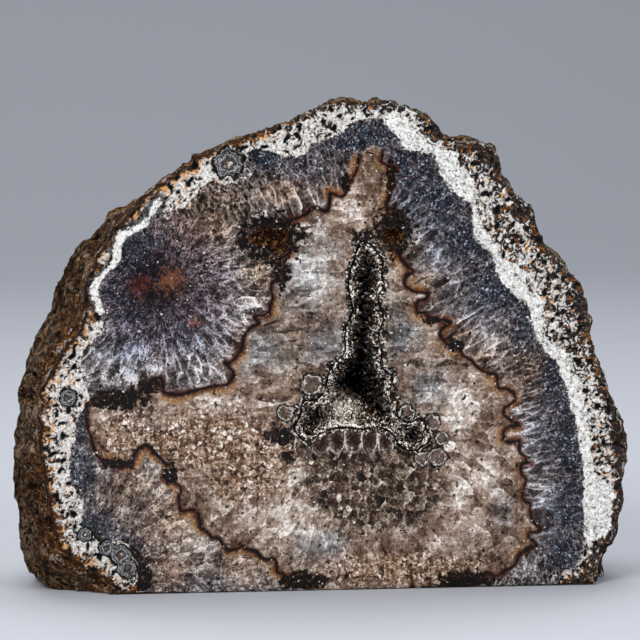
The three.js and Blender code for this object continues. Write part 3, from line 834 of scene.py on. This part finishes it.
# The rock outside the quartz, its ringed eyes, and the porcelain-like band
to_edge = look.plus(look.kept("behind edge"), (waver, 3))
rusty_side = look.rise(look.plus(parts[0], (broad_waver, 30)), 10, -25)
right_rock = look.rise(look.plus(parts[0], (broad_waver, 30)), 15, 40)
rim = look.group(speckled_rock, {
    "Place": place,
    "Whiteness": look.plus(look.rise(to_edge, 0.0, 3), (right_rock, -0.5), 0.35),
    "Rustiness": look.plus(
        (look.plus(look.rise(to_edge, 4, 0.5), 0.3), rusty_side),
        (right_rock, 0.4))})
brown_edge = look.times(look.rise(to_edge, 1.3, 0.3), rusty_side)
rim_colour = look.over(brown_edge, rim["Color"], paint(44, 28, 16))
beside_vein = look.rise(look.plus(
    look.kept("in vein"), (waver, 3), (fine_grit, 3)), -1.8, -1.0)
rim_colour = look.over(look.times(beside_vein, 0.85), rim_colour, paint(16, 22, 30))
porcelain = look.ramp(look.plus(look.grain(moved, 0.9, 5, 0.78)[0], (fine_grit, 0.4)), [
    (0.34, paint(40, 36, 34)), (0.41, paint(160, 156, 150)), (0.47, paint(230, 228, 223)),
    (0.65, paint(254, 253, 250))])
in_porcelain = look.plus(
    look.kept("inside porcelain"), (waver, 3.2), (broad_waver, 2))
rim_colour = look.over(look.rise(in_porcelain, -0.2, 0.1), rim_colour, porcelain)
# Painted shade: the bottoms of the pits are painted near black, as shade falls in the holes
rim_colour = look.over(look.rise(look.kept("pit"), 0.05, 0.5), rim_colour, paint(8, 7, 6))
in_quartz = look.rise(into_quartz, -0.2, 0.2)
face_colour = look.over(in_quartz, rim_colour, quartz)
eye_ring = look.plus(look.kept("eye rings"), (waver, 1.1), (cloud, 0.7))
eye = look.ramp(look.plus((eye_ring, 0.5), (fine_grit, 0.06)), [
    (0.03, paint(236, 232, 226)), (0.1, paint(120, 100, 88)), (0.16, paint(44, 38, 38)),
    (0.24, paint(84, 82, 84)), (0.28, paint(190, 188, 186)), (0.31, paint(52, 50, 54)),
    (0.38, paint(70, 70, 76)), (0.41, paint(170, 168, 168)), (0.44, paint(16, 15, 17)),
    (0.56, paint(8, 8, 10))])
face_colour = look.over(look.rise(eye_ring, 1.2, 1.05), face_colour, eye)
rock_bump = look.put("ShaderNodeBump", {
    "Strength": look.rise(into_quartz, 0.0, -0.4), "Distance": 0.0004, "Height": rim["Height"]})[0]
close_material(
    look, Base_Color=face_colour, Roughness=look.between(in_quartz, 0.6, 0.28),
    Specular_IOR_Level=0.16, Coat_Weight=look.times(in_quartz, 0.1), Coat_Roughness=0.08,
    Normal=rock_bump)

# The rind is brown and earthy, the base is sawn but not polished, the pockets are dark inside
rind, skin = new_material("rough rind")
place = skin.millimetres()
axes = skin.put("ShaderNodeSeparateXYZ", {0: place})
broad = skin.plus(skin.grain(skin.shift(place, 9, 0.07), 0.05, 4, 0.65)[0], -0.5)
uneven = skin.plus(skin.grain(place, 0.22, 4, 0.65)[0], -0.5)
fine = skin.grain(skin.shift(place, 0.8, 0.9), 0.85, 5, 0.78)[0]
earth = skin.ramp(skin.plus(broad, (uneven, 0.5), 0.5), [
    (0.36, paint(100, 68, 44)), (0.46, paint(136, 104, 76)), (0.54, paint(158, 138, 116)),
    (0.64, paint(160, 116, 70))])
grit = skin.ramp(fine, [
    (0.41, paint(20, 18, 17)), (0.48, paint(98, 94, 90)), (0.56, paint(190, 186, 182)),
    (0.66, paint(255, 252, 248))])
rind_colour = skin.over(1.0, earth, grit, "MULTIPLY")
relief_wear_and_crevice_shade = skin.plus(skin.kept("relief"), (fine, 2.0), -1.0)
# Painted shade: the low places of the rind, its crevices and pits, are painted near black; the raised
# knobs are painted lighter, as worn
rind_colour = skin.over(skin.times(skin.rise(relief_wear_and_crevice_shade, 0.35, -0.5), 0.85), rind_colour, paint(12, 8, 5))
rind_colour = skin.over(
    skin.times(skin.rise(relief_wear_and_crevice_shade, 0.75, 1.4), 0.45), rind_colour, paint(198, 178, 150))
rust = skin.times(skin.rise(skin.plus(
    skin.grain(place, 0.7, 5, 0.8)[0], (broad, 0.3)), 0.61, 0.64), 0.6)
rind_colour = skin.over(rust, rind_colour, paint(190, 120, 50))
beside_face = skin.rise(skin.plus(axes[1], (uneven, 16)), -24, -31)
right_side = skin.times(
    skin.rise(skin.plus(axes[0], (uneven, 50), (broad, 60)), 8, 44),
    skin.rise(skin.plus(axes[1], (uneven, 40), (broad, 70)), 6, -28))
crumbly_rock = skin.group(speckled_rock, {
    "Place": place, "Whiteness": skin.times(relief_wear_and_crevice_shade, 0.5), "Rustiness": skin.rise(axes[0], 20, -20)})
rocky = skin.maths("MAXIMUM", skin.times(beside_face, 0.6), skin.times(right_side, 0.75))
rind_colour = skin.over(rocky, rind_colour, crumbly_rock["Color"])
rind_bump = skin.put("ShaderNodeBump", {"Strength": 0.9, "Distance": 0.0012, "Height": fine})[0]
close_material(
    skin, Base_Color=rind_colour, Roughness=0.85, Specular_IOR_Level=0.08, Normal=rind_bump)

base_cut, sawn = new_material("sawn base")
place = sawn.millimetres()
base_colour = sawn.over(sawn.grain(place, 0.25, 4, 0.6)[0], paint(84, 76, 70), paint(178, 170, 162))
close_material(sawn, Base_Color=base_colour, Roughness=0.6)

pocket_wall, pocket = new_material("pocket wall")
place = pocket.millimetres()
pocket_colour = pocket.ramp(pocket.grain(place, 1.2, 4, 0.75)[0], [
    (0.42, paint(6, 4, 3)), (0.52, paint(52, 31, 17)), (0.62, paint(128, 86, 50)),
    (0.72, paint(206, 172, 134))])
close_material(pocket, Base_Color=pocket_colour, Roughness=0.8, Specular_IOR_Level=0.1)

for material in (rind, section, base_cut, pocket_wall):
    stone_mesh.materials.append(material)
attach(agate_half, "root")
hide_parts("agate_stone")

# The crystal crust in the hollow
# A crust of small smoky quartz points lines the hollow. It grew on the walls with its tips towards
# the open middle, and where it meets the polished face it is cut flush with it.
POINT_WIDTH = (0.5, 1.5)
POINT_COUNT = 2000
LEAN = 0.35
FLUSH_WIDTH = 0.9
WHITE_MOUND = [(6.5, 45, 8, 6)]

crust = bmesh.new()
crust.from_mesh(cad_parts["druse_crust"].data)
bmesh.ops.remove_doubles(crust, verts=crust.verts, dist=SAME_PLACE)
for halving in range(2):
    bmesh.ops.subdivide_edges(crust, edges=crust.edges[:], cuts=1, use_grid_fill=True)
crust.normal_update()
flush = [v for v in crust.verts if v.co.y < face_y + SAME_PLACE]
for point, inside in zip(flush, measure(on_face([v.co for v in flush]), *mouth_rim)[0]):
    spot = in_millimetres(point.co)
    crumbled = 0.5 + 1.5 * noise.noise(spot / 1.6) + 0.6 * noise.noise(spot / 0.7)
    point.co.y += max(0.0, inside - FLUSH_WIDTH) * max(0.0, crumbled) * 1.5 * MM
inner_walls = [f for f in crust.faces
               if f.normal.y < -0.02 and f.calc_center_median().y > face_y + 0.4 * MM]

crystal = bmesh.new()
bmesh.ops.create_cone(crystal, cap_ends=True, segments=6, radius1=0.5, radius2=0.46, depth=1.2)
top = max(crystal.faces, key=lambda f: f.calc_center_median().z)
peak = bmesh.ops.poke(crystal, faces=[top])["verts"][0]
peak.co += Vector((0.08, 0.05, 0.55))
crystal_mesh = bpy.data.meshes.new("crystal")
crystal.to_mesh(crystal_mesh)
crystal.free()

dice = random.Random(11)
wall_areas = [f.calc_area() for f in inner_walls]
for wall in dice.choices(inner_walls, weights=wall_areas, k=POINT_COUNT):
    shares = [dice.random() + 0.05 for _ in wall.verts]
    root = sum((v.co * share for v, share in zip(wall.verts, shares)), Vector()) / sum(shares)
    lean = Vector((dice.gauss(0, LEAN), dice.gauss(0, LEAN), dice.gauss(0, LEAN)))
    growth = (wall.normal + lean).normalized()
    width = dice.uniform(*POINT_WIDTH) * MM
    length = width * dice.uniform(0.9, 1.6)
    grown = crystal_mesh.copy()
    grown.transform(
        Matrix.Translation(root + growth * 0.4 * length)
        @ growth.to_track_quat("Z", "Y").to_matrix().to_4x4()
        @ Matrix.Rotation(dice.uniform(0, math.pi), 4, "Z")
        @ Matrix.Diagonal((width, width, length, 1)))
    if min(v.co.y for v in grown.vertices) > face_y + 0.05 * MM:
        crust.from_mesh(grown)
    bpy.data.meshes.remove(grown)
crust_mesh = bpy.data.meshes.new("druse_points")
crust.to_mesh(crust_mesh)
crust.free()
crust_places = on_face([v.co for v in crust_mesh.vertices])
keep(crust_mesh, "from seam", measure(crust_places, *mouth_rim)[0])
keep(crust_mesh, "white mound", patch_share(crust_places, WHITE_MOUND))
druse_points = add_object("druse_points", crust_mesh)
print("crust: triangles", sum(len(f.vertices) - 2 for f in crust_mesh.polygons))

smoky_points, smoke = new_material("smoky points")
place = smoke.millimetres()
frost_grain = smoke.grain(place, 1.4, 5, 0.8)[0]
unevenness = smoke.plus(smoke.grain(place, 0.6, 4, 0.7)[0], -0.5)
from_seam = smoke.plus(smoke.kept("from seam"), (unevenness, 5))
curl = smoke.maths("ABSOLUTE", smoke.plus(smoke.grain(place, 0.75, 2, 0.5)[0], -0.5))
crusted = smoke.rise(from_seam, 3.6, 1.2)
frost = smoke.plus(
    frost_grain, (crusted, 0.06),
    (smoke.times(crusted, smoke.rise(curl, 0.05, 0.01)), 0.16),
    (smoke.kept("white mound"), 0.17), (unevenness, 0.2), -0.04)
frost = smoke.plus(frost, (smoke.rise(from_seam, 0.4, 0.0), -0.12))
point_colour = smoke.ramp(frost, [
    (0.5, paint(5, 4, 4)), (0.56, paint(40, 27, 18)), (0.61, paint(136, 106, 78)),
    (0.67, paint(244, 240, 232))])
close_material(smoke, Base_Color=point_colour, Roughness=0.2, Specular_IOR_Level=0.3)
crust_mesh.materials.append(smoky_points)
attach(druse_points, "root")
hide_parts("druse_crust")

# The studio
# A pale floor that turns up behind the stone, with soft light from above and both sides.
FLOOR_HALF_WIDTH = 2.5
FLOOR_FRONT = -1.5
FLOOR_LEVEL = -0.0002
FLOOR_LENGTH = 2.3
BEND_RADIUS = 0.6
BEND_STEP = math.radians(9)
WALL_HEIGHT = 2.5
backdrop_form = bmesh.new()
floor_edge = [backdrop_form.verts.new((x, FLOOR_FRONT, FLOOR_LEVEL))
              for x in (-FLOOR_HALF_WIDTH, FLOOR_HALF_WIDTH)]
sweep = [backdrop_form.edges.new(floor_edge)]
bends = [
    (0, BEND_RADIUS * (math.sin(a + BEND_STEP) - math.sin(a)),
     BEND_RADIUS * (math.cos(a) - math.cos(a + BEND_STEP)))
    for a in (BEND_STEP * i for i in range(10))]
for step in [(0, FLOOR_LENGTH, 0)] + bends + [(0, 0, WALL_HEIGHT)]:
    made = bmesh.ops.extrude_edge_only(backdrop_form, edges=sweep)["geom"]
    sweep = [g for g in made if isinstance(g, bmesh.types.BMEdge)]
    bmesh.ops.translate(
        backdrop_form, vec=step, verts=[g for g in made if isinstance(g, bmesh.types.BMVert)])
for face in backdrop_form.faces:
    face.smooth = True
backdrop_mesh = bpy.data.meshes.new("backdrop")
backdrop_form.to_mesh(backdrop_mesh)
backdrop = add_object("backdrop", backdrop_mesh)
paper, plain = new_material("pale paper")
close_material(plain, Base_Color=paint(184, 188, 197), Roughness=0.7)
backdrop_mesh.materials.append(paper)


def aim(thing, stands_at, looks_at):
    thing.location = stands_at
    ahead = Vector(looks_at) - thing.location
    thing.rotation_euler = ahead.to_track_quat("-Z", "Y").to_euler()


LIT_PLACE = (0, 0, 0.06)


def soft_light(name, stands_at, size, power, colour):
    lamp = add_object(name, bpy.data.lights.new(name, "AREA"))
    aim(lamp, stands_at, LIT_PLACE)
    lamp.data.shape = "RECTANGLE"
    lamp.data.size, lamp.data.size_y = size
    lamp.data.energy = power
    lamp.data.color = colour


soft_light("key light", (-0.55, -0.75, 0.75), (0.6, 0.6), 9, (1, 0.99, 0.97))
soft_light("fill light", (0.75, -0.7, 0.45), (0.6, 0.6), 5.5, (0.97, 0.98, 1))
soft_light("top light", (0, 0.25, 0.9), (0.8, 0.5), 7, (1, 1, 1))
world = bpy.data.worlds.new("studio air")
world.use_nodes = True
air = world.node_tree.nodes["Background"].inputs
air["Color"].default_value = paint(190, 194, 202)
air["Strength"].default_value = 0.3
bpy.context.scene.world = world
bpy.context.scene.view_settings.view_transform = "Standard"

CAMERA_PLACE = (-0.121202, -1.019109, 0.172009)
MIDDLE_OF_PICTURE = (0, -0.032, 0.06748)
LENS_LENGTH = 227.733
camera = add_object("camera", bpy.data.cameras.new("camera"))
aim(camera, CAMERA_PLACE, MIDDLE_OF_PICTURE)
camera.data.sensor_width = 36
camera.data.lens = LENS_LENGTH
bpy.context.scene.camera = camera
